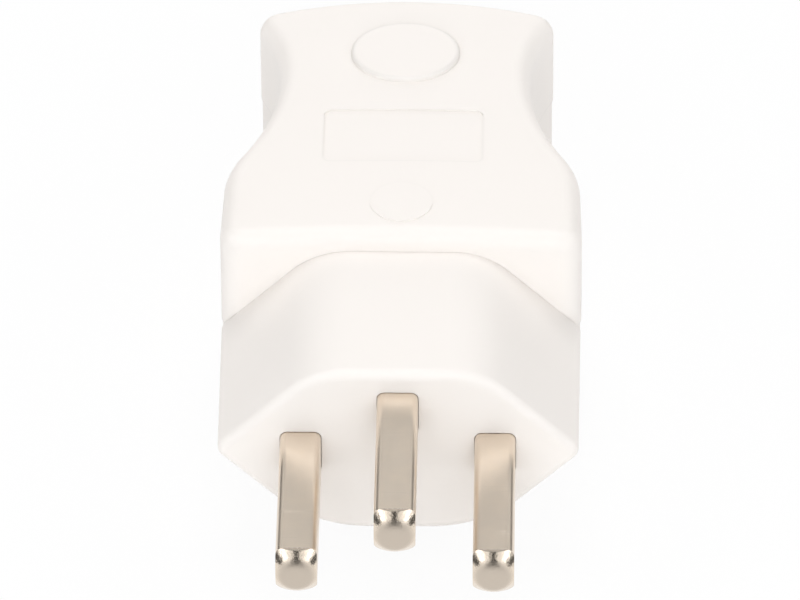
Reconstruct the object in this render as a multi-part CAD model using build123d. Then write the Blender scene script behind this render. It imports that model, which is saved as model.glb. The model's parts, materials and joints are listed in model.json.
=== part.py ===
"""Rewirable Swiss three-pin plug: a pin carrier with a six-sided nose, clamped between two waisted shells."""

import os
from math import hypot, radians, sin, sqrt, tan

from build123d import *

# Driving dimensions in millimetres. X runs across the plug, Y from the pins to the cable, Z to the earth pin.
# The origin is the middle of the front face of the nose, on the line between the live and neutral pins.

# Contact pins, 4 x 5 mm bar with a turned tip
pin_pitch = 19.0
earth_rise = 5.0
pin_width = 4.0
pin_height = 5.0
pin_reach = 19.0
pin_edge_radius = 0.75
tip_flat_radius = 1.5
tip_cone_angle = 45.0
tip_round = 2.0

# Terminal block at the inner end of each pin
block_width = 6.0
block_height = 6.5
block_length = 9.6
block_edge_radius = 0.5
wire_hole_diameter = 3.0
wire_hole_depth = 8.2
terminal_headroom = 0.55

# Nose of the pin carrier
nose_width = 35.3
nose_height = 19.7
nose_length = 19.0
nose_draft_angle = 0.45
nose_slant_angle = 45.0
nose_flank_radius = 1.3
nose_top_radius = 8.0
nose_bottom_radius = 12.5
nose_front_radius = 0.95
nose_front_wall = 3.0
seam_gap = 0.02

# Neck and flange that the shells grip
neck_side_inset = 2.125
neck_top_inset = 1.15
neck_wall = 1.8
flange_overlap = 1.2
flange_thickness = 2.2
sleeve_wall = 1.6

# Housing shells, seen from above and from the side, with lengths from the front of the collar
collar_step = 0.13
collar_rise = 2.2
side_length = 9.0
side_taper = 0.25
shoulder_radius = 11.0
waist_width = 25.2
waist_distance = 27.8
flare_radius = 22.0
housing_length = 42.4
rear_radius = 45.0
front_corner_radius = 2.2
rear_corner_radius = 2.4
top_edge_radius = 1.8
crown_distance = 8.0
crown_radius = 220.0
shell_wall = 2.0
front_wall = 2.2
parting_step = 0.12

# Relief on the upper shell
thumb_pad_diameter = 11.0
thumb_pad_setback = 11.4
thumb_pad_rise = 0.45
thumb_pad_edge_radius = 0.4
label_width = 15.9
label_length = 8.7
label_spacing = 11.1
label_depth = 0.16
label_corner_radius = 0.8
mark_diameter = 6.2
mark_distance = 5.2
mark_rise = 0.1

# Cable and its inlet
cable_diameter = 8.0
cable_clearance = 0.5
inlet_sleeve_wall = 2.0
inlet_lip_radius = 0.8

# Screws
shank_diameter = 3.0
slot_width = 0.8
slot_depth = 0.8
cross_slot_length = 3.4
terminal_shank_length = 2.6
terminal_head_diameter = 4.8
terminal_head_height = 1.4
housing_screw_pitch = 16.0
housing_screw_gap = 1.0
housing_shank_length = 13.0
housing_head_diameter = 5.2
housing_head_height = 2.0
housing_seat_depth = 6.2
housing_boss_diameter = 8.0
clamp_shank_length = 8.0
clamp_head_diameter = 4.8
clamp_head_height = 1.8

# Cord clamp
clamp_screw_gap = 3.0
clamp_inlet_gap = 2.6
clamp_side_gap = 0.5
clamp_end_length = 2.5
clamp_post_diameter = 5.0
clamp_seat_z = 1.8
clamp_bar_depth = 5.0
clamp_bar_thickness = 1.8
clamp_edge_radius = 0.8
saddle_thickness = 3.0

# Ribs that hold the terminal blocks
stop_width = 4.0
stop_thickness = 2.0
cradle_length = 5.0

# Fits
slide_fit = 0.05
carrier_fit = 0.1
screw_fit = 0.05

# Places that follow from the sizes above
nose_growth = 2 * nose_length * tan(radians(nose_draft_angle))
neck_width = nose_width - 2 * neck_side_inset
neck_height = nose_height - 2 * neck_top_inset
flange_height = neck_height + 2 * flange_overlap
collar_width = nose_width + nose_growth + 2 * collar_step
collar_height = nose_height + nose_growth + 2 * collar_rise
top_z = collar_height / 2
collar_y = nose_length
crown_y = collar_y + crown_distance
waist_y = collar_y + waist_distance
rear_y = collar_y + housing_length
mark_y = collar_y + mark_distance
label_y = mark_y + label_spacing
thumb_pad_y = rear_y - thumb_pad_setback
flange_y = collar_y + front_wall
block_y = flange_y + flange_thickness
block_end_y = block_y + block_length
terminal_screw_y = block_y + block_length / 2
housing_screw_y = block_end_y + stop_thickness + housing_screw_gap + housing_boss_diameter / 2
housing_seat_z = housing_seat_depth - top_z
inlet_diameter = cable_diameter + 2 * cable_clearance
clamp_y = housing_screw_y + housing_boss_diameter / 2 + clamp_screw_gap + clamp_bar_depth / 2
inlet_start_y = clamp_y + clamp_bar_depth / 2 + clamp_inlet_gap
clamp_bar_length = waist_width - 2 * (shell_wall + clamp_side_gap)
clamp_screw_pitch = clamp_bar_length - 2 * clamp_end_length
clamp_top_z = cable_diameter / 2 + clamp_bar_thickness
clamp_floor_z = 1.5 * shell_wall - top_z
pin_places = {
    "live": (-pin_pitch / 2, 0.0),
    "neutral": (pin_pitch / 2, 0.0),
    "earth": (0.0, earth_rise),
}
block_tops = {
    "live": block_height / 2,
    "neutral": block_height / 2,
    "earth": top_z - shell_wall - terminal_headroom - terminal_head_height - earth_rise,
}
sides = {"left": -1, "right": 1}
collar_corner = Vector(collar_width / 2, collar_y)
shoulder_point = collar_corner + Vector(-side_taper, side_length)
side_direction = (shoulder_point - collar_corner).normalized()
inward = Vector(-side_direction.Y, side_direction.X)
shoulder_centre = shoulder_point + inward * shoulder_radius
waist_run = waist_y - shoulder_centre.Y
waist_reach = waist_width / 2 - shoulder_centre.X
waist_radius = (waist_reach**2 + waist_run**2 - shoulder_radius**2) / (2 * (shoulder_radius - waist_reach))
waist_centre = Vector(waist_width / 2 + waist_radius, waist_y)
flare_centre = Vector(waist_width / 2 + flare_radius, waist_y)
rear_centre = Vector(0, rear_y - rear_radius)


def across(y):
    """Plane square to the plug's length: its own x is X, its own y is Z."""
    return Plane(origin=(0, y, 0), x_dir=(1, 0, 0), z_dir=(0, -1, 0))


def along(sketch, start, end):
    """Solid with one section all the way from start to end along Y."""
    return extrude(across(start) * sketch, amount=start - end)


def block(width, start, end, bottom, top, x=0.0):
    """Upright box given by its span in Y and Z."""
    return Pos(x, (start + end) / 2, (bottom + top) / 2) * Box(width, end - start, top - bottom)


def post(diameter, bottom, top, x, y):
    """Upright cylinder given by its span in Z."""
    return Pos(x, y, (bottom + top) / 2) * Cylinder(diameter / 2, top - bottom)


def hexagon(width, height):
    """Six-sided section with slanted corners and a vertex at mid-height on each side."""
    half_top = width / 2 - height / 2 / tan(radians(nose_slant_angle))
    right = [(half_top, -height / 2), (width / 2, 0), (half_top, height / 2)]
    left = [(-x, z) for x, z in reversed(right)]
    return make_face(Polyline(*right, *left, close=True))


def rounded_hexagon(width, height):
    """Six-sided section with soft corners above, softer ones below and firm flanks, full width after rounding."""
    flank_cut = nose_flank_radius * (1 / sin(radians(nose_slant_angle)) - 1)
    sketch = hexagon(width + 2 * flank_cut, height)
    flanks = sketch.vertices().group_by(Axis.X)
    sketch = fillet(flanks[0] + flanks[-1], nose_flank_radius)
    sketch = fillet(sketch.vertices().group_by(Axis.Y)[-1], nose_top_radius)
    return fillet(sketch.vertices().group_by(Axis.Y)[0], nose_bottom_radius)


def arc_about(centre, radius, start, end):
    """Shorter arc from start to end round a centre."""
    middle = centre + ((start + end) / 2 - centre).normalized() * radius
    return ThreePointArc(start, middle, end)


def rear_meeting(inset):
    """Point on the right where the flare's arc runs into the arc of the rear end."""
    flare = flare_radius + inset
    rear = rear_radius - inset
    apart = rear_centre - flare_centre
    reach = (apart.length**2 + flare**2 - rear**2) / (2 * apart.length)
    rise = sqrt(flare**2 - reach**2)
    ahead = apart.normalized()
    beside = Vector(-ahead.Y, ahead.X)
    points = [flare_centre + ahead * reach + beside * rise * turn for turn in (1, -1)]
    return max(points, key=lambda point: point.Y)


def plan(inset, front, rounded):
    """Outline of the housing from above, drawn in by an inset, with its front edge at the given Y."""
    straight_end = shoulder_point + inward * inset
    corner = straight_end + side_direction * ((front - straight_end.Y) / side_direction.Y)
    joint = shoulder_centre + (waist_centre - shoulder_centre).normalized() * (shoulder_radius - inset)
    narrowest = Vector(waist_width / 2 - inset, waist_y)
    rear = rear_meeting(inset)
    right = [
        Line(corner, straight_end),
        arc_about(shoulder_centre, shoulder_radius - inset, straight_end, joint),
        arc_about(waist_centre, waist_radius + inset, joint, narrowest),
        arc_about(flare_centre, flare_radius + inset, narrowest, rear),
    ]
    left = [edge.mirror(Plane.YZ) for edge in right]
    rear_arc = arc_about(rear_centre, rear_radius - inset, rear, Vector(-rear.X, rear.Y))
    front_line = Line(corner, Vector(-corner.X, front))
    sketch = make_face([*right, rear_arc, *left, front_line])
    if not rounded:
        return sketch
    sketch = fillet(sketch.vertices().group_by(Axis.Y)[0], front_corner_radius - inset)
    return fillet(sketch.vertices().group_by(Axis.Y)[-1], rear_corner_radius - inset)


def crown(lower):
    """Ball under the top surface, which is crowned across and falls away to the rear."""
    return Pos(0, crown_y, top_z - crown_radius) * Rot(0, 90, 0) * Sphere(crown_radius - lower)


def half_body(inset=0.0):
    """Solid upper half of the housing, still with a sharp edge round its crowned face."""
    return extrude(plan(inset, collar_y, True), amount=collar_height) & crown(0)


def round_crown_edge(body):
    """Rounds the edge round the crowned face."""
    crowned = body.faces().filter_by(GeomType.SPHERE).sort_by(SortBy.AREA)[-1]
    return fillet(crowned.outer_wire().edges(), top_edge_radius)


def half_space(share):
    """Upper half of the space inside the housing, at a share of the wall's thickness from the outside."""
    outline = plan(share * shell_wall, collar_y + share * front_wall, False)
    return extrude(outline, amount=collar_height) & crown(share * shell_wall)


def screw(shank_length, head_diameter, head_height, crossed=False):
    """Slotted or cross-slotted screw, head up, with the seat of its head at the origin."""
    body = post(head_diameter, 0, head_height, 0, 0) + post(shank_diameter, -shank_length, 0, 0, 0)
    slot_length = cross_slot_length if crossed else head_diameter
    slot = block(slot_length, -slot_width / 2, slot_width / 2, head_height - slot_depth, head_height)
    body -= slot
    return body - Rot(0, 0, 90) * slot if crossed else body


def make_pin(block_top):
    """Bar with a turned tip in front and a terminal block behind, on its own axis."""
    bar = along(RectangleRounded(pin_width, pin_height, pin_edge_radius), -pin_reach, block_y)
    wide = hypot(pin_width, pin_height) / 2
    cone_length = (wide - tip_flat_radius) / tan(radians(tip_cone_angle))
    profile = make_face(Polyline(
        (0, -pin_reach), (tip_flat_radius, -pin_reach), (wide, cone_length - pin_reach),
        (wide, block_y), (0, block_y), close=True))
    rim = profile.vertices().sort_by_distance((tip_flat_radius, -pin_reach))[0]
    shaft = bar & revolve(fillet(rim, tip_round), Axis.Y)
    block_bottom = -block_height / 2
    section = RectangleRounded(block_width, block_top - block_bottom, block_edge_radius)
    terminal = along(Pos(0, (block_top + block_bottom) / 2) * section, block_y, block_end_y)
    terminal -= along(Circle(wire_hole_diameter / 2), block_end_y - wire_hole_depth, block_end_y)
    hole_bottom = block_top - terminal_shank_length - screw_fit
    terminal -= post(shank_diameter + 2 * screw_fit, hole_bottom, block_top, 0, terminal_screw_y)
    return shaft + terminal


def make_carrier():
    """Pin carrier: drafted nose, neck and flange, cored from behind round three pin sleeves."""
    front = across(0) * rounded_hexagon(nose_width, nose_height)
    rear_section = rounded_hexagon(nose_width + nose_growth, nose_height + nose_growth)
    nose = loft([front, across(nose_length - seam_gap) * rear_section], ruled=True)
    nose = fillet(nose.faces().sort_by(Axis.Y)[0].edges(), nose_front_radius)
    neck = along(hexagon(neck_width, neck_height), nose_length - seam_gap, block_y)
    flange = along(hexagon(neck_width, flange_height), flange_y, block_y)
    core = along(offset(hexagon(neck_width, neck_height), -neck_wall), nose_front_wall, block_y)
    carrier = nose + neck + flange - core
    sleeve = Rectangle(pin_width + 2 * sleeve_wall, pin_height + 2 * sleeve_wall)
    slot = offset(RectangleRounded(pin_width, pin_height, pin_edge_radius), slide_fit)
    for x, z in pin_places.values():
        carrier += along(Pos(x, z) * sleeve & hexagon(neck_width, neck_height), nose_front_wall / 2, block_y)
    for x, z in pin_places.values():
        carrier -= along(Pos(x, z) * slot, -nose_front_radius, block_end_y)
    return carrier


def cut_openings(shell):
    """Opens a shell for the carrier's neck and for the cable."""
    neck = hexagon(neck_width + 2 * carrier_fit, neck_height + 2 * carrier_fit)
    shell -= along(neck, collar_y - front_wall, flange_y + flange_thickness)
    return shell - inlet_bore()


def inlet_bore():
    """Space of the cable inlet, opening out over a rounded lip at the rear end."""
    radius = inlet_diameter / 2
    lip_y = rear_y - inlet_lip_radius
    lip = arc_about(Vector(radius + inlet_lip_radius, lip_y), inlet_lip_radius,
                    Vector(radius, lip_y), Vector(radius + inlet_lip_radius, rear_y))
    start_y = inlet_start_y - clamp_inlet_gap / 2
    end_y = rear_y + inlet_lip_radius
    walls = Polyline((radius + inlet_lip_radius, rear_y), (radius + inlet_lip_radius, end_y), (0, end_y),
                     (0, start_y), (radius, start_y), (radius, lip_y))
    return revolve(make_face([lip, walls]), Axis.Y)


def inlet_sleeve():
    """Collar round the cable inside the rear wall."""
    outer = Circle(inlet_diameter / 2 + inlet_sleeve_wall)
    return along(outer, inlet_start_y, rear_y)


def make_upper_shell():
    """Upper housing shell with its thumb pad, label recess and small round mark."""
    inner_z = top_z - shell_wall
    body = half_body()
    thumb_pad = crown(-thumb_pad_rise) & post(thumb_pad_diameter, inner_z, collar_height, 0, thumb_pad_y)
    body += fillet(thumb_pad.faces().sort_by(Axis.Z)[-1].edges(), thumb_pad_edge_radius)
    body += crown(-mark_rise) & post(mark_diameter, inner_z, collar_height, 0, mark_y)
    label = Pos(0, label_y) * RectangleRounded(label_width, label_length, label_corner_radius)
    body -= extrude(label, amount=collar_height) - crown(label_depth)
    inside = inlet_sleeve()
    earth_x, earth_z = pin_places["earth"]
    wire_top = earth_z + wire_hole_diameter / 2
    inside += block(stop_width, block_end_y, block_end_y + stop_thickness, wire_top, top_z, earth_x)
    for side in sides.values():
        inside += post(housing_boss_diameter, 0, top_z, side * housing_screw_pitch / 2, housing_screw_y)
    shell = cut_openings(round_crown_edge(body) - half_space(1) + (inside & half_space(0.5)))
    hole_top = housing_seat_z + housing_shank_length + screw_fit
    for side in sides.values():
        x = side * housing_screw_pitch / 2
        shell -= post(shank_diameter + 2 * screw_fit, 0, hole_top, x, housing_screw_y)
    return shell


def housing_seats():
    """Space of the housing screws' heads, up to their seats."""
    width = housing_head_diameter + 2 * carrier_fit
    seats = [post(width, -collar_height, housing_seat_z, side * housing_screw_pitch / 2, housing_screw_y)
             for side in sides.values()]
    return seats[0] + seats[1]


def make_lower_shell():
    """Lower housing shell with the screw seats, the pin stops and the posts and saddle of the cord clamp."""
    body = round_crown_edge(mirror(half_body(parting_step), about=Plane.XY) - housing_seats())
    inside = inlet_sleeve()
    stop_end_y = block_end_y + stop_thickness
    for x in (-pin_pitch / 2, pin_pitch / 2):
        inside += block(stop_width, block_end_y - cradle_length, stop_end_y, -top_z, -block_height / 2, x)
        inside += block(stop_width, block_end_y, stop_end_y, -top_z, -wire_hole_diameter / 2, x)
    for side in sides.values():
        inside += post(housing_boss_diameter, -top_z, 0, side * housing_screw_pitch / 2, housing_screw_y)
    saddle_start = clamp_y - saddle_thickness / 2
    inside += block(clamp_screw_pitch, saddle_start, saddle_start + saddle_thickness, -top_z, 0)
    inside = (inside & mirror(half_space(0.5), about=Plane.XY)) - housing_seats()
    shell = cut_openings(body - mirror(half_space(1), about=Plane.XY) + inside)
    for side in sides.values():
        x = side * housing_screw_pitch / 2
        shell -= post(shank_diameter + 2 * screw_fit, housing_seat_z, 0, x, housing_screw_y)
        clamp_x = side * clamp_screw_pitch / 2
        shell += post(clamp_post_diameter, clamp_floor_z, clamp_seat_z, clamp_x, clamp_y)
        hole_bottom = clamp_top_z - clamp_shank_length - screw_fit
        shell -= post(shank_diameter + 2 * screw_fit, hole_bottom, clamp_seat_z, clamp_x, clamp_y)
    return shell - cable_path()


def cable_path():
    """Space of the cable's sheath where the clamp presses it."""
    return along(Circle(cable_diameter / 2), clamp_y - clamp_bar_depth, clamp_y + clamp_bar_depth)


def make_cord_clamp():
    """Bar with a round groove below, which presses the cord's sheath into the saddle."""
    start_y = clamp_y - clamp_bar_depth / 2
    clamp = block(clamp_bar_length, start_y, start_y + clamp_bar_depth, clamp_seat_z, clamp_top_z)
    clamp = fillet(clamp.edges().filter_by(Axis.Z), clamp_edge_radius) - cable_path()
    for side in sides.values():
        x = side * clamp_screw_pitch / 2
        clamp -= post(shank_diameter + 2 * screw_fit, 0, collar_height, x, clamp_y)
    return clamp


parts = {
    "upper_shell": make_upper_shell(),
    "lower_shell": make_lower_shell(),
    "pin_carrier": make_carrier(),
    "cord_clamp": make_cord_clamp(),
}
terminal_screw = screw(terminal_shank_length, terminal_head_diameter, terminal_head_height)
for name, (x, z) in pin_places.items():
    parts[f"{name}_pin"] = Pos(x, 0, z) * make_pin(block_tops[name])
    parts[f"{name}_terminal_screw"] = Pos(x, terminal_screw_y, z + block_tops[name]) * terminal_screw
housing_screw = screw(housing_shank_length, housing_head_diameter, housing_head_height, crossed=True)
clamp_screw = screw(clamp_shank_length, clamp_head_diameter, clamp_head_height)
for name, side in sides.items():
    housing_place = Pos(side * housing_screw_pitch / 2, housing_screw_y, housing_seat_z)
    parts[f"housing_screw_{name}"] = housing_place * Rot(180, 0, 0) * housing_screw
    clamp_place = Pos(side * clamp_screw_pitch / 2, clamp_y, clamp_top_z)
    parts[f"clamp_screw_{name}"] = clamp_place * clamp_screw

os.makedirs("parts", exist_ok=True)
for name, part in parts.items():
    part.label = name
    export_step(part, f"parts/{name}.step")
    print(name, round(part.volume, 1))
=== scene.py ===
# %% [markdown]
# # A Swiss plug, dressed in Blender
# The packed CAD model gives every solid of the plug its true place: two housing shells, the pin carrier with its
# six-sided nose, three pins, the cord clamp and the screws. This lesson gives them their finishes, cuts the threads
# that the CAD leaves plain, and sets up a small white studio round them.

# %% Load the frame
import json
from functools import partial
from math import cos, pi, radians, sin

import bpy
from mathutils import Matrix, Vector


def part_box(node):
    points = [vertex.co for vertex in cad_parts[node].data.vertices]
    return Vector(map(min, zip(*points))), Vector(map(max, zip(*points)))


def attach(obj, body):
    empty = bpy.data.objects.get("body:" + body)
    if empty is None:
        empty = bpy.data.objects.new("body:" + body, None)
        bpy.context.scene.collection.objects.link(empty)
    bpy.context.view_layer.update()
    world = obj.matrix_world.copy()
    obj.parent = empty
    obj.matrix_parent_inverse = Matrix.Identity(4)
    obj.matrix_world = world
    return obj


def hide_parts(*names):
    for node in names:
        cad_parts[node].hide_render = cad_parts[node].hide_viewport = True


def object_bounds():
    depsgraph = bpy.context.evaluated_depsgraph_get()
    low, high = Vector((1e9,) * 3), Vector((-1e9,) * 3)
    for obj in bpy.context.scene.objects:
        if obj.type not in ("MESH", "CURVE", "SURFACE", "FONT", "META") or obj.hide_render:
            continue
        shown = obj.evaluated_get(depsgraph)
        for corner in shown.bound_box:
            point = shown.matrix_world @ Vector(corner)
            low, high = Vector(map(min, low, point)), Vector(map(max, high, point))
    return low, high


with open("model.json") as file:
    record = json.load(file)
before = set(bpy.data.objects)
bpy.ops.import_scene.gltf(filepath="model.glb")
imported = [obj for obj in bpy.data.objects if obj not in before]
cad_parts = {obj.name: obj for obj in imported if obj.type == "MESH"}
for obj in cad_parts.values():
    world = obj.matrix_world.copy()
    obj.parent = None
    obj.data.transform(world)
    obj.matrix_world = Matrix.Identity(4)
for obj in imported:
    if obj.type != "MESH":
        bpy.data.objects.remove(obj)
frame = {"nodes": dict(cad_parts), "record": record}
nodes = frame["nodes"]
cad_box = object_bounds()
scene = bpy.context.scene
MM = 0.001
print("nodes:", len(nodes), "box:", [tuple(round(v / MM, 2) for v in corner) for corner in cad_box])

# %% [markdown]
# ## Shader arithmetic
# A finish is a recipe: take the place on the surface, turn it into masks, and mix colours by them. Wiring each step
# by hand hides the recipe, so one small class wraps a socket. Plus, minus, times, divide and abs on it add Math
# nodes, and its node method adds any other node from its type, its settings and what goes into its sockets.


# %% A socket that can be calculated with
class Flow:
    """One socket in a node tree, with arithmetic that adds Math nodes."""

    def __init__(self, tree, socket=None):
        self.tree = tree
        self.socket = socket

    def fill(self, inputs, values):
        """Links each value that is a Flow to its socket, and sets any other value on the socket itself."""
        for name, value in values.items():
            if isinstance(value, Flow):
                self.tree.links.new(value.socket, inputs[name])
            else:
                inputs[name].default_value = value

    def node(self, kind, settings, sockets, output=0):
        """Adds a node, sets it, fills or links its sockets and returns one of its outputs."""
        made = self.tree.nodes.new(kind)
        for name, value in settings.items():
            setattr(made, name, value)
        self.fill(made.inputs, sockets)
        return Flow(self.tree, made.outputs[output])

    def beside(self, output):
        """Another output of the node that this socket belongs to."""
        return Flow(self.tree, self.socket.node.outputs[output])

    def math(self, operation, first, second=0.0):
        return self.node("ShaderNodeMath", {"operation": operation}, {0: first, 1: second})

    def __add__(self, other):
        return self.math("ADD", self, other)

    def __sub__(self, other):
        return self.math("SUBTRACT", self, other)

    def __rsub__(self, other):
        return self.math("SUBTRACT", other, self)

    def __mul__(self, other):
        return self.math("MULTIPLY", self, other)

    def __truediv__(self, other):
        return self.math("DIVIDE", self, other)

    def __abs__(self):
        return self.math("ABSOLUTE", self)

    __radd__ = __add__
    __rmul__ = __mul__


print("made:", Flow.__doc__)


# %% Helpers for places, masks and mixes
def vector_math(operation, first, second=(0, 0, 0), output=0):
    """Vector Math on a place and a second place or plain numbers."""
    return first.node("ShaderNodeVectorMath", {"operation": operation}, {0: first, 1: second}, output)


def along_axis(place, axis):
    """How far the place lies along X, Y or Z."""
    return place.node("ShaderNodeSeparateXYZ", {}, {0: place}, output=axis)


def noise(place, scale, detail):
    """Soft random field over a place in metres."""
    return place.node("ShaderNodeTexNoise", {}, {"Vector": place, "Scale": scale, "Detail": detail}, output="Fac")


def step_between(value, low, high):
    """Smooth mask that is 0 below low and 1 above high."""
    return value.node("ShaderNodeMapRange", {"interpolation_type": "SMOOTHSTEP"},
                      {"Value": value, "From Min": low, "From Max": high})


def blend_colours(mask, first, second):
    """Colour that is first where the mask is 0 and second where it is 1."""
    return mask.node("ShaderNodeMix", {"data_type": "RGBA"}, {"Factor": mask, 6: first, 7: second}, output=2)


print("helpers ready for places, masks and mixes")

# %% Helpers for a finish
RELIEF_MM = 0.04


def relief(height, strength):
    """Fine relief in the shading, from a field of heights."""
    return height.node("ShaderNodeBump", {}, {"Height": height, "Strength": strength, "Distance": RELIEF_MM * MM},
                       output="Normal")


def new_finish(name):
    """Material with an empty Principled shader: returns the material, the shader's sockets and the place."""
    material = bpy.data.materials.new(name)
    material.use_nodes = True
    tree = material.node_tree
    place = Flow(tree).node("ShaderNodeTexCoord", {}, {}, output="Object")
    return material, tree.nodes["Principled BSDF"].inputs, place


print("helpers ready for a finish, with a relief of", RELIEF_MM, "mm")

# %% [markdown]
# ## White moulded plastic
# The housing and the carrier are one warm white thermoplastic with a soft gloss. Moulded parts are never quite even:
# the colour drifts by a hair, and the tool leaves a fine orange-peel that breaks up the reflections. Two noises do
# both. The upper shell also has a round thumb pad, a label field and a small round mark, which stand only tenths of a
# millimetre proud or deep. The corner of such a step holds a little shade, which the fine light alone would not bring
# out at this size, so that shade is painted into the colour as a soft grey line, at a set distance from a rounded
# rectangle, and a circle is the same rectangle with corners as large as itself. A last grey line goes round the
# housing where the two shells meet, as their dark joint.

# %% Painted shade along the steps, and the joint line, with their sizes in millimetres
# Grey for the painted shade at the crown's steps, and for the dark joint between the shells.
SHADE_AND_JOINT_GREY = (0.800, 0.770, 0.735, 1.0)
PARTING = {"line": 0.3, "strength": 0.8}
PAD_FROM_REAR = 11.4
collar_y, rear_y = (corner[1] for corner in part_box("upper_shell"))
pad_setback = (rear_y - collar_y) / MM - PAD_FROM_REAR
LABEL = {"setback": 16.3, "width": 15.9, "length": 8.7, "corner": 0.8, "line": 0.5, "strength": 0.32}
MARK = {"setback": 5.2, "width": 6.2, "length": 6.2, "corner": 3.1, "line": 0.5, "strength": 0.14}
THUMB_PAD = {"setback": pad_setback, "width": 10.6, "length": 10.6, "corner": 5.3, "line": 0.9, "strength": 0.5}


def shade_and_joint_line(distance, line, strength):
    """Grey line of a given width, at its full strength where the distance is 0: painted shade along a step, and the
    dark joint of the shells.
    """
    return (1 - step_between(abs(distance), 0.0, line / 2 * MM)) * strength


def step_shade_line(place, setback, width, length, corner, line, strength):
    """Soft line of painted shade along the edge of a rounded rectangle on the crown, set back from the collar."""
    middle = (0, collar_y + setback * MM, 0)
    core = ((width / 2 - corner) * MM, (length / 2 - corner) * MM, 0)
    flat = vector_math("MULTIPLY", vector_math("SUBTRACT", place, middle), (1, 1, 0))
    beyond = vector_math("MAXIMUM", vector_math("SUBTRACT", vector_math("ABSOLUTE", flat), core))
    reach = vector_math("LENGTH", beyond, output="Value")
    return shade_and_joint_line(reach - corner * MM, line, strength)


def parting_line(place):
    """Thin line round the housing at the height where its two shells meet."""
    return shade_and_joint_line(along_axis(place, "Z"), **PARTING)


# Painted shade lines round the label field, the small mark and the thumb pad.
crown_shade_lines = [partial(step_shade_line, **field) for field in (LABEL, MARK, THUMB_PAD)]
print("lines on the crown:", len(crown_shade_lines), "and one round the housing")

# %% Plastics
WARM_WHITE = (0.920, 0.874, 0.832, 1.0)
WARM_WHITE_DEEP = (0.908, 0.862, 0.820, 1.0)
CLAMP_GREY = (0.50, 0.49, 0.46, 1.0)
CLAMP_GREY_DEEP = (0.46, 0.45, 0.43, 1.0)
SHELL_ROUGHNESS, CLAMP_ROUGHNESS, DRIFT_ROUGHER = 0.46, 0.5, 0.06
SKIN_STRENGTH = 0.03
PLASTIC_IOR = 1.49


def moulded_plastic(name, light, deep, roughness, lines=()):
    """Moulded plastic with a drifting colour, a fine skin and soft grey lines: painted shade along steps, and the
    joint of the shells.
    """
    material, sockets, place = new_finish(name)
    drift = noise(place, scale=55.0, detail=2.0)
    skin = noise(place, scale=1400.0, detail=3.0)
    colour = blend_colours(drift, light, deep)
    # Each line mixes in the grey: painted shade along the crown's steps, and the dark joint where the shells meet.
    for line in lines:
        colour = blend_colours(line(place), colour, SHADE_AND_JOINT_GREY)
    place.fill(sockets, {"Base Color": colour, "Roughness": roughness + drift * DRIFT_ROUGHER,
                         "Normal": relief(skin, SKIN_STRENGTH), "IOR": PLASTIC_IOR})
    return material


white_plastic = partial(moulded_plastic, light=WARM_WHITE, deep=WARM_WHITE_DEEP, roughness=SHELL_ROUGHNESS)
shell_plastic = white_plastic("warm_white_plastic")
# The crown gets the painted shade lines at its steps; both shells get the joint line.
crown_plastic = white_plastic("warm_white_crown", lines=[*crown_shade_lines, parting_line])
lower_plastic = white_plastic("warm_white_lower", lines=[parting_line])
clamp_plastic = moulded_plastic("grey_clamp_plastic", CLAMP_GREY, CLAMP_GREY_DEEP, CLAMP_ROUGHNESS)
print("plastics:", shell_plastic.name, crown_plastic.name, lower_plastic.name, clamp_plastic.name)

# %% [markdown]
# ## Nickel on the pins
# The pins are drawn bar, plated with nickel after their tips were turned. The bar keeps fine lines along its length
# and a few faint scuffs across it, the tip keeps coarser marks, its end face is dull, and the plating is a little
# warm. The place along the pin decides which grain shows. Lines and scuffs are one noise each, pulled long along the
# pin or across it.

# %% Pin plating
NICKEL = (0.810, 0.708, 0.594, 1.0)
NICKEL_WARM = (0.840, 0.730, 0.605, 1.0)
NICKEL_DULL = (0.625, 0.548, 0.464, 1.0)
TIP_START_MM, END_START_MM, FADE_MM = -17.4, -18.9, 0.5
PULLED_ALONG = (1.0, 0.03, 1.0)
PULLED_ACROSS = (0.10, 1.0, 0.10)
SCUFFS_FROM, TARNISH_FROM = (0.64, 0.76), (0.35, 0.75)
SCUFF_SHARE = 0.22
GRAIN_STRENGTH, TIP_COARSER = 0.12, 5.0
BAR_ROUGHNESS, DRAWN_ROUGHER, SCUFFS_ROUGHER = 0.27, 0.06, 0.08
TIP_SMOOTHER, END_ROUGHER = 0.11, 0.19


def plated_pin():
    """Satin nickel with drawn lines and scuffs on the bar, coarse marks on the tip and a dull end face."""
    material, sockets, place = new_finish("satin_nickel")
    along = along_axis(place, "Y")
    tip = 1 - step_between(along, (TIP_START_MM - FADE_MM) * MM, TIP_START_MM * MM)
    end = 1 - step_between(along, END_START_MM * MM, (END_START_MM + FADE_MM) * MM)
    drawn = noise(vector_math("MULTIPLY", place, PULLED_ALONG), scale=5200.0, detail=2.0)
    crossing = noise(vector_math("MULTIPLY", place, PULLED_ACROSS), scale=1700.0, detail=2.0)
    marks = noise(place, scale=3600.0, detail=3.0)
    tarnish = noise(place, scale=420.0, detail=4.0)
    scuffs = step_between(crossing, *SCUFFS_FROM) * (1 - tip)
    grain = drawn * (1 - tip) + marks * tip * TIP_COARSER
    plating = blend_colours(step_between(tarnish, *TARNISH_FROM), NICKEL, NICKEL_WARM)
    plating = blend_colours(scuffs * SCUFF_SHARE, plating, NICKEL_DULL)
    roughness = BAR_ROUGHNESS + drawn * DRAWN_ROUGHER + scuffs * SCUFFS_ROUGHER
    roughness = roughness - tip * TIP_SMOOTHER + end * END_ROUGHER
    place.fill(sockets, {"Base Color": blend_colours(end, plating, NICKEL_DULL), "Metallic": 1.0,
                         "Roughness": roughness, "Normal": relief(grain, GRAIN_STRENGTH)})
    return material


pin_nickel = plated_pin()
print("pin finish:", pin_nickel.name)

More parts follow.
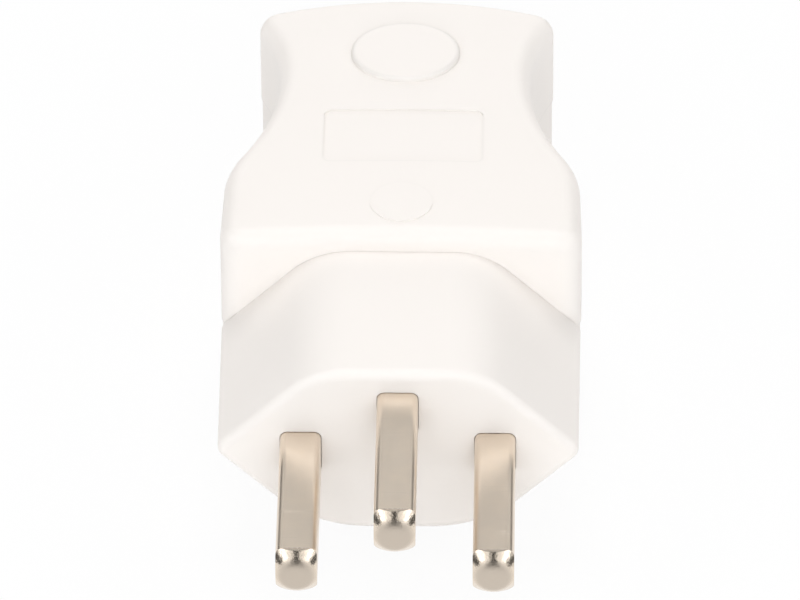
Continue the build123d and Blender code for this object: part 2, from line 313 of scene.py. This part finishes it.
# %% [markdown]
# ## Zinc on the screws
# The screws are turned steel with a thin bright zinc coat, cooler than the pins. Nothing of it shows from the front,
# but the two housing screws are seen from below. One soft noise clouds the coat.

# %% Screw plating
ZINC = (0.58, 0.585, 0.60, 1.0)
ZINC_PALE = (0.68, 0.68, 0.68, 1.0)
ZINC_ROUGHNESS, CLOUD_ROUGHER = 0.28, 0.14


def zinc_plate():
    """Bright zinc with faint clouds."""
    material, sockets, place = new_finish("bright_zinc")
    cloud = noise(place, scale=900.0, detail=3.0)
    place.fill(sockets, {"Base Color": blend_colours(cloud, ZINC, ZINC_PALE), "Metallic": 1.0,
                         "Roughness": ZINC_ROUGHNESS + cloud * CLOUD_ROUGHER})
    return material


screw_zinc = zinc_plate()
print("screw finish:", screw_zinc.name)

# %% A finish for every CAD node
finishes = {"shell_plastic": shell_plastic, "clamp_plastic": clamp_plastic, "pin_nickel": pin_nickel,
            "screw_steel": screw_zinc}
lined_shells = {"upper_shell": crown_plastic, "lower_shell": lower_plastic}
slots = {row["node"]: row["material_slot"] for row in frame["record"]["subparts"]}
for name, node in nodes.items():
    node.data.materials.clear()
    node.data.materials.append(lined_shells.get(name, finishes[slots[name]]))
print("finishes given to", len(nodes), "nodes")

# %% [markdown]
# ## Threads and heads of the screws
# A CAD screw is a plain shank under a plain head. A real one has a rolled thread and a head with a broken edge. All
# seven screws are the same kind of thing in three sizes, so one Geometry Nodes tree makes them. The sizes follow the
# CAD boxes: the thread is as wide as the CAD shank, and the head as wide and high as the CAD head. Only the housing
# screws are driven from below, so they are turned over. They have a cross slot. On the others the second slot is
# shorter than the first is wide, which leaves a plain slot.

# %% Sizes of the screws, in millimetres
SHARED_SIZES = {"Slot width": 0.8, "Slot depth": 0.8, "Thread radius": 1.5}
SCREW_KINDS = {
    "housing": {"Head radius": 2.6, "Head height": 2.0, "Head edge": 0.3, "Slot length": 3.4, "Cross length": 3.4,
                "Core radius": 1.2, "Shank length": 13.0, "Thread length": 7.6, "Pitch": 1.1, "Turn over": pi},
    "clamp": {"Head radius": 2.4, "Head height": 1.8, "Head edge": 0.3, "Slot length": 5.6, "Cross length": 0.4,
              "Core radius": 1.2, "Shank length": 8.0, "Thread length": 4.4, "Pitch": 1.1, "Turn over": 0.0},
    "terminal": {"Head radius": 2.4, "Head height": 1.4, "Head edge": 0.25, "Slot length": 5.6, "Cross length": 0.4,
                 "Core radius": 1.28, "Shank length": 2.6, "Thread length": 2.2, "Pitch": 0.5, "Turn over": 0.0},
}
print("kinds of screw:", list(SCREW_KINDS))

# %% [markdown]
# The head is a cylinder whose top edge is drawn in, with the slots cut out of it. The shank is a core with a
# right-handed spiral round it, swept with a diamond: its inner half sinks into the core, and its outer half is the
# ridge of the thread. A thread could also be a profile with a Screw modifier, set up again for each size. In a tree
# a few numbers give it.

# %% Head of a screw
HEAD_SIDES = 48


def vector(flow, x=0.0, y=0.0, z=0.0):
    """Vector with the given lengths along the axes."""
    return flow.node("ShaderNodeCombineXYZ", {}, {"X": x, "Y": y, "Z": z})


def moved(shape, place):
    """The shape, moved to a place."""
    return shape.node("GeometryNodeTransform", {}, {"Geometry": shape, "Translation": place})


def screw_head(flow, given):
    """Head with its seat at the origin, a broken edge and its slots."""
    side_height = given["Head height"] - given["Head edge"]
    barrel = flow.node("GeometryNodeMeshCylinder", {},
                       {"Vertices": HEAD_SIDES, "Radius": given["Head radius"], "Depth": side_height})
    seated = moved(barrel, vector(flow, z=side_height * 0.5))
    raised = flow.node("GeometryNodeExtrudeMesh", {"mode": "FACES"},
                       {"Mesh": seated, "Selection": barrel.beside("Top"), "Offset": (0, 0, 1),
                        "Offset Scale": given["Head edge"]})
    draw_in = (given["Head radius"] - given["Head edge"]) / given["Head radius"]
    head = flow.node("GeometryNodeScaleElements", {"domain": "FACE"},
                     {"Geometry": raised, "Selection": raised.beside("Top"), "Scale": draw_in})
    top = vector(flow, z=given["Head height"])
    # A cutter is centred on the top face, so it is twice as high as its slot is deep. The second is a hair shallower,
    # so that the floors of the two slots never lie in one plane.
    for length, width, share in (("Slot length", "Slot width", 2.0), ("Slot width", "Cross length", 1.96)):
        cutter = flow.node("GeometryNodeMeshCube", {},
                           {"Size": vector(flow, given[length], given[width], given["Slot depth"] * share)})
        head = flow.node("GeometryNodeMeshBoolean", {"operation": "DIFFERENCE", "solver": "EXACT"},
                         {"Mesh 1": head, "Mesh 2": moved(cutter, top)})
    return head


print("a head has", HEAD_SIDES, "sides")

# %% Shank of a screw
CORE_SIDES, STEPS_PER_TURN, RIDGE_SIDES = 32, 24, 4


def screw_shank(flow, given):
    """Core and thread, hanging from the origin."""
    core = flow.node("GeometryNodeMeshCylinder", {},
                     {"Vertices": CORE_SIDES, "Radius": given["Core radius"], "Depth": given["Shank length"]})
    core = moved(core, vector(flow, z=given["Shank length"] * -0.5))
    coil = flow.node("GeometryNodeCurveSpiral", {},
                     {"Resolution": STEPS_PER_TURN, "Rotations": given["Thread length"] / given["Pitch"],
                      "Start Radius": given["Core radius"], "End Radius": given["Core radius"],
                      "Height": given["Thread length"], "Reverse": True})
    coil = flow.node("GeometryNodeSetCurveNormal", {"mode": "Z_UP"}, {"Curve": coil})
    ridge = given["Thread radius"] - given["Core radius"]
    section = flow.node("GeometryNodeCurvePrimitiveCircle", {"mode": "RADIUS"},
                        {"Resolution": RIDGE_SIDES, "Radius": ridge})
    thread = flow.node("GeometryNodeCurveToMesh", {}, {"Curve": coil, "Profile Curve": section, "Fill Caps": True})
    return core, moved(thread, vector(flow, z=ridge - given["Shank length"]))


print("a thread has", STEPS_PER_TURN, "steps to a turn")

# %% Tree of one screw
SHARP_ANGLE = radians(32)


def screw_tree():
    """Screw with its head up and the seat of the head at each given point."""
    tree = bpy.data.node_groups.new("turned_screw", "GeometryNodeTree")
    tree.interface.new_socket("Seats", in_out="INPUT", socket_type="NodeSocketGeometry")
    for name in (*SHARED_SIZES, *SCREW_KINDS["housing"]):
        tree.interface.new_socket(name, in_out="INPUT", socket_type="NodeSocketFloat")
    tree.interface.new_socket("Finish", in_out="INPUT", socket_type="NodeSocketMaterial")
    tree.interface.new_socket("Screws", in_out="OUTPUT", socket_type="NodeSocketGeometry")
    flow = Flow(tree)
    given = {socket.name: Flow(tree, socket) for socket in tree.nodes.new("NodeGroupInput").outputs if socket.name}
    whole = flow.node("GeometryNodeJoinGeometry", {}, {})
    for piece in (screw_head(flow, given), *screw_shank(flow, given)):
        tree.links.new(piece.socket, whole.socket.node.inputs[0])
    placed = flow.node("GeometryNodeInstanceOnPoints", {},
                       {"Points": given["Seats"], "Instance": whole, "Rotation": vector(flow, given["Turn over"])})
    real = flow.node("GeometryNodeRealizeInstances", {}, {"Geometry": placed})
    bend = flow.node("GeometryNodeInputMeshEdgeAngle", {}, {}, output="Unsigned Angle")
    smooth = flow.node("GeometryNodeSetShadeSmooth", {"domain": "EDGE"},
                       {"Geometry": real, "Selection": flow.math("GREATER_THAN", bend, SHARP_ANGLE),
                        "Shade Smooth": False})
    done = flow.node("GeometryNodeSetMaterial", {}, {"Geometry": smooth, "Material": given["Finish"]})
    tree.links.new(done.socket, tree.nodes.new("NodeGroupOutput").inputs["Screws"])
    return tree


turned_screw = screw_tree()
print("screw tree:", len(turned_screw.nodes), "nodes")

# %% [markdown]
# Each screw is made at the seat of its CAD head and stays inside the CAD screw's outline. The tree runs once for each
# of them, and its result is kept as a plain mesh, because the screws are pieces of their own and the export knows no
# instances.


# %% Make the seven screws
def bake_screw(name, seat, sizes):
    """Runs the tree at one seat and keeps the mesh as a finished piece."""
    mesh = bpy.data.meshes.new(name)
    mesh.from_pydata([seat], [], [])
    source = bpy.data.objects.new(name, mesh)
    scene.collection.objects.link(source)
    modifier = source.modifiers.new("screw", "NODES")
    modifier.node_group = turned_screw
    inputs = {item.name: item.identifier for item in turned_screw.interface.items_tree if item.in_out == "INPUT"}
    for size_name, size in {**SHARED_SIZES, **sizes}.items():
        modifier[inputs[size_name]] = size if size_name == "Turn over" else size * MM
    modifier[inputs["Finish"]] = screw_zinc
    baked = bpy.data.meshes.new_from_object(source.evaluated_get(bpy.context.evaluated_depsgraph_get()))
    source.modifiers.remove(modifier)
    source.data = baked
    bpy.data.meshes.remove(mesh)
    return source


for name in nodes:
    kind = next((kind for kind in SCREW_KINDS if kind in name and "screw" in name), None)
    if kind is None:
        continue
    low, high = (Vector(corner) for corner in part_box(name))
    head_height = SCREW_KINDS[kind]["Head height"] * MM
    seat = (low + high) / 2
    seat.z = low.z + head_height if kind == "housing" else high.z - head_height
    piece = bake_screw(name + "_turned", seat, SCREW_KINDS[kind])
    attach(piece, "root")
    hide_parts(name)
    print(piece.name, len(piece.data.polygons), "faces")

# %% [markdown]
# ## The studio
# The plug lies on a white floor, as in a catalogue. The same light from everywhere would leave white plastic without
# form and plating without bands, so the light comes from a few places with darkness between them. The floor shows
# white to the camera and to reflections, mixed with its lit surface so that it keeps the plug's soft shadow.

# %% Floor
FLOOR_SIZE = 6.0
FLOOR_PAINT = (0.93, 0.93, 0.93, 1.0)
FLOOR_WHITE_SHARE = 0.92
WHITE = (1.0, 1.0, 1.0, 1.0)
floor_z = cad_box[0][2]


def studio_floor():
    """White floor that keeps a faint shadow."""
    material = bpy.data.materials.new("studio_floor")
    material.use_nodes = True
    tree = material.node_tree
    flow = Flow(tree)
    camera_ray = flow.node("ShaderNodeLightPath", {}, {}, output="Is Camera Ray")
    seen = camera_ray + camera_ray.beside("Is Glossy Ray") + camera_ray.beside("Is Transmission Ray")
    share = flow.math("MINIMUM", seen, 1.0) * FLOOR_WHITE_SHARE
    paint = flow.node("ShaderNodeBsdfDiffuse", {}, {"Color": FLOOR_PAINT})
    glow = flow.node("ShaderNodeEmission", {}, {"Color": WHITE, "Strength": 1.0})
    mixed = flow.node("ShaderNodeMixShader", {}, {0: share, 1: paint, 2: glow})
    tree.links.new(mixed.socket, tree.nodes["Material Output"].inputs["Surface"])
    return material


half = FLOOR_SIZE / 2
corners = [(x * half, y * half, floor_z) for x, y in ((-1, -1), (1, -1), (1, 1), (-1, 1))]
floor_mesh = bpy.data.meshes.new("floor")
floor_mesh.from_pydata(corners, [], [(0, 1, 2, 3)])
floor = bpy.data.objects.new("floor", floor_mesh)
scene.collection.objects.link(floor)
floor_mesh.materials.append(studio_floor())
print("floor at", round(floor_z / MM, 2), "mm")

# %% [markdown]
# The world stands for the walls of the tent: bright panels high on both sides, a dimmer wall high behind the plug, a
# narrow bright strip low behind it, and near darkness everywhere else. The flats of the pins mirror the wall. Their
# rounded edges mirror the darkness beside the strip, which gives the thin dark line along each of them. The plastic
# just takes up the sum of it. A world shader works from directions alone, so no wall has to be modelled. Each wall
# fades in between two values of a direction's X, Y or Z.

# %% World
SIDE_PANELS, REAR_WALL_HIGH, REAR_WALL_LOW, DIM_REST = 1.8, 0.47, 2.1, 0.06
SIDE_FADE = (0.45, 0.75)
STRIP_FADE = (0.30, 0.50)
REAR_FADE = (-0.2, 0.2)
HIGH_FADE = (0.3, 0.5)
TOP_FADE = (0.55, 0.85)


def studio_world():
    """Tent of light: white to the camera, panels and walls to everything else."""
    world = bpy.data.worlds.new("studio_world")
    world.use_nodes = True
    tree = world.node_tree
    flow = Flow(tree)
    direction = flow.node("ShaderNodeTexCoord", {}, {}, output="Generated")
    across, along, height = (along_axis(direction, axis) for axis in "XYZ")
    side = step_between(abs(across), *SIDE_FADE)
    narrow = 1 - step_between(abs(across), *STRIP_FADE)
    rear = step_between(along, *REAR_FADE)
    high = step_between(height, *HIGH_FADE)
    below_top = 1 - step_between(height, *TOP_FADE)
    wall = (1 - side) * high * REAR_WALL_HIGH + narrow * (1 - high) * REAR_WALL_LOW
    walls = (side * high * SIDE_PANELS + rear * wall) * below_top + DIM_REST
    camera_ray = flow.node("ShaderNodeLightPath", {}, {}, output="Is Camera Ray")
    tent = flow.node("ShaderNodeBackground", {}, {"Color": WHITE, "Strength": walls})
    white = flow.node("ShaderNodeBackground", {}, {"Color": WHITE, "Strength": 1.0})
    mixed = flow.node("ShaderNodeMixShader", {}, {0: camera_ray, 1: tent, 2: white})
    tree.links.new(mixed.socket, tree.nodes["World Output"].inputs["Surface"])
    return world


scene.world = studio_world()
print("world:", scene.world.name)

# %% [markdown]
# Three kinds of softbox add the rest. One hangs overhead, a little behind the plug, for the top faces. A tall pair
# stands in front, left and right: each pin tip mirrors both as twin highlights, and the gap between them as the dark
# wedge in the middle. A low and slightly cool one in front lights the nose's front face. It isn't mirrored, so the
# wedge stays dark.

# %% Lamps, with directions in degrees and sizes in metres
LAMP_DISTANCE = 1.2
LIT_POINT = Vector((0, 0.02, 0))
FILL_COLOUR = (0.96, 1.0, 1.04)
TIP_BOX = {"elevation": 27, "width": 0.74, "height": 1.15, "watts": 2.6}
SOFTBOXES = {
    "overhead_box": {"azimuth": 180, "elevation": 73, "width": 0.70, "height": 0.70, "watts": 5.95},
    "tip_box_left": {"azimuth": -36, **TIP_BOX},
    "tip_box_right": {"azimuth": 36, **TIP_BOX},
    "front_fill": {"azimuth": 0, "elevation": 24, "width": 0.60, "height": 0.50, "watts": 5.4},
}


def direction_from(azimuth, elevation):
    """Direction to a place round the plug, with azimuth 0 in front of the pins."""
    turn, rise = radians(azimuth), radians(elevation)
    return Vector((sin(turn) * cos(rise), -cos(turn) * cos(rise), sin(rise)))


def softbox(name, azimuth, elevation, width, height, watts):
    """Flat lamp that faces the plug."""
    away = direction_from(azimuth, elevation)
    lamp = bpy.data.lights.new(name, "AREA")
    lamp.shape, lamp.size, lamp.size_y, lamp.energy = "RECTANGLE", width, height, watts
    box = bpy.data.objects.new(name, lamp)
    box.location = LIT_POINT + away * LAMP_DISTANCE
    box.rotation_euler = away.to_track_quat("Z", "Y").to_euler()
    scene.collection.objects.link(box)
    return box


lamps = {name: softbox(name, **values) for name, values in SOFTBOXES.items()}
lamps["front_fill"].visible_glossy = False
lamps["front_fill"].data.color = FILL_COLOUR
print("lamps:", list(lamps))

# %% [markdown]
# ## The camera
# The photograph was taken from above the pins with a long lens. Its direction was fitted to the pins, the nose and
# the seam: the middle of the nose's front face then falls a little below the middle of the picture, so the camera
# aims above that point instead of shifting its lens.

# %% Camera
PICTURE_WIDTH = 800
SENSOR_MM = 36.0
ELEVATION, YAW, ROLL = 39.5, 1.2, -0.38
DISTANCE = 1.0
FOCAL_PIXELS = 10232
AIM_RIGHT_PIXELS, AIM_UP_PIXELS = 2.1, 152.6
NEAREST, FARTHEST = 0.01, 50.0

turn, roll = radians(YAW), radians(ROLL)
back = direction_from(YAW, ELEVATION)
level = Vector((cos(turn), sin(turn), 0))
upright = back.cross(level)
right = cos(roll) * level + sin(roll) * upright
up = cos(roll) * upright - sin(roll) * level
eye = back * DISTANCE
aim = (right * AIM_RIGHT_PIXELS + up * AIM_UP_PIXELS) * DISTANCE / FOCAL_PIXELS
depth = (eye - aim).normalized()
right = (right - depth * right.dot(depth)).normalized()
lens = bpy.data.cameras.new("catalogue_camera")
lens.sensor_width = SENSOR_MM
lens.lens = FOCAL_PIXELS * SENSOR_MM / PICTURE_WIDTH
lens.clip_start, lens.clip_end = NEAREST, FARTHEST
camera = bpy.data.objects.new("catalogue_camera", lens)
axes = Matrix((right, depth.cross(right), depth)).transposed()
camera.matrix_world = Matrix.Translation(eye) @ axes.to_4x4()
scene.collection.objects.link(camera)
scene.camera = camera
scene.view_settings.view_transform = "Standard"
print("lens", round(lens.lens, 1), "mm, aimed at", [round(v / MM, 2) for v in aim])

# %% [markdown] ## Sizes The dressed plug is meant to stay inside the CAD model's box,
# which is measured at the start as cad_box.
# The dressed plug has to stay inside the CAD model's box, because nothing in this lesson may change a size.
